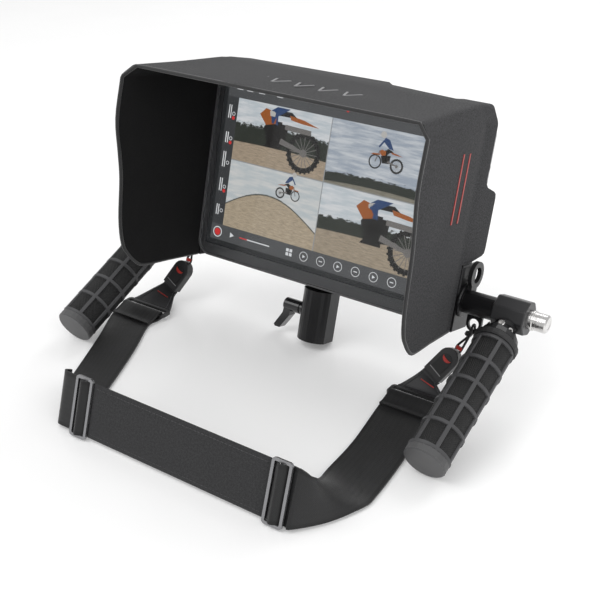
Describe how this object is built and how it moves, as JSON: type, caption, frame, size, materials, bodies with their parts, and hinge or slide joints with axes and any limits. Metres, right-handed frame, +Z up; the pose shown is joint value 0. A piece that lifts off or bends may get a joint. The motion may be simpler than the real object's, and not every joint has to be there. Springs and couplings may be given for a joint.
{
  "type": "director's monitor kit",
  "caption": "Caged monitor with a sun hood, two turning hand grips with push buttons, a stand receiver with a wing lever, and a neck strap.",
  "frame": {"origin": "middle of the bounding box, on the surface that the kit stands on", "axes": "+X to the right of the screen, seen from its front; -Y towards the viewer; +Z up. The screen leans back 15 degrees about X."},
  "size_m": [0.386, 0.308, 0.2315],
  "materials": {
    "bezel": "satin grey bezel",
    "glass": "clear anti-glare glass",
    "display": "lit panel",
    "plate": "plain machined or pressed aluminium",
    "board": "green circuit board",
    "housing": "light silver-grey satin paint",
    "anodised": "black satin anodising",
    "chrome": "bright fine-turned steel",
    "rubber": "soft black rubber, knurled panels",
    "collar": "dark grey satin plastic",
    "cap": "mid-grey rubber",
    "lever": "black moulded plastic",
    "hood": "dark heather-grey laminated fabric over a stiffener, black lining",
    "webbing": "black woven webbing",
    "pad": "dark grey smooth strap pad",
    "slider": "grey satin metal",
    "nylon": "black moulded nylon",
    "leather": "dark grey coated leather",
    "cord": "black braided cord"
  },
  "bodies": {
    "monitor": {"arm_left": "anodised", "arm_right": "anodised", "backlight_tray": "plate", "bezel_frame": "bezel", "cage_bottom_bar": "anodised", "chassis_plate": "plate", "connector_cord_left": "cord", "connector_cord_right": "cord", "display_panel": "display", "front_glass": "glass", "hood_corner_left": "hood", "hood_corner_right": "hood", "hood_roof": "hood", "hood_side_left": "hood", "hood_side_right": "hood", "main_board": "board", "quick_connector_left": "nylon", "quick_connector_right": "nylon", "rear_housing": "housing", "receiver_post": "anodised", "recording_drive": "plate", "side_bracket_left": "anodised", "side_bracket_right": "anodised", "strap_eye_left": "anodised", "strap_eye_right": "anodised", "strap_loop_left": "nylon", "strap_loop_right": "nylon", "strap_pad": "pad", "strap_slider_left": "slider", "strap_slider_right": "slider", "strap_tab_left": "leather", "strap_tab_right": "leather", "strap_webbing_left": "webbing", "strap_webbing_right": "webbing", "upper_eyelet_left": "nylon", "upper_eyelet_right": "nylon"},
    "handle_left": {"joint_barrel_left": "anodised", "grip_neck_left": "anodised", "neck_screw_left": "chrome", "grip_collar_left": "collar", "grip_core_left": "plate", "grip_sleeve_left": "rubber", "grip_end_cap_left": "cap"},
    "button_left": {"release_button_left": "chrome", "lock_gear_left": "plate", "button_spring_left": "plate"},
    "handle_right": {"joint_barrel_right": "anodised", "grip_neck_right": "anodised", "neck_screw_right": "chrome", "grip_collar_right": "collar", "grip_core_right": "plate", "grip_sleeve_right": "rubber", "grip_end_cap_right": "cap"},
    "button_right": {"release_button_right": "chrome", "lock_gear_right": "plate", "button_spring_right": "plate"},
    "clamp_lever": {"clamp_pad": "nylon", "clamp_screw": "plate", "wing_lever": "lever"},
    "power_button": {"power_button": "lever"}
  },
  "joints": [
    {"name": "left_handle_turn", "type": "hinge", "parent": "monitor", "child": "handle_left", "pos_m": [-0.1651, 0.0769, 0.07051], "axis": [1, 0, 0], "range_deg": [-250, 0]},
    {"name": "left_button_press", "type": "slide", "parent": "handle_left", "child": "button_left", "axis": [1, 0, 0], "range_m": [0, 0.0025], "stiffness_N_per_m": 900, "springref_m": -0.001},
    {"name": "right_handle_turn", "type": "hinge", "parent": "monitor", "child": "handle_right", "pos_m": [0.1651, 0.0769, 0.07051], "axis": [1, 0, 0], "range_deg": [-250, 0]},
    {"name": "right_button_press", "type": "slide", "parent": "handle_right", "child": "button_right", "axis": [-1, 0, 0], "range_m": [0, 0.0025], "stiffness_N_per_m": 900, "springref_m": -0.001},
    {"name": "clamp_lever_turn", "type": "hinge", "parent": "monitor", "child": "clamp_lever", "pos_m": [-0.0195, 0.06591, 0.02563], "axis": [1, 0, 0], "range_deg": [-180, 180]},
    {"name": "power_button_press", "type": "slide", "parent": "monitor", "child": "power_button", "axis": [-1, 0, 0], "range_m": [0, 0.0008], "stiffness_N_per_m": 800, "springref_m": -0.0005}
  ]
}
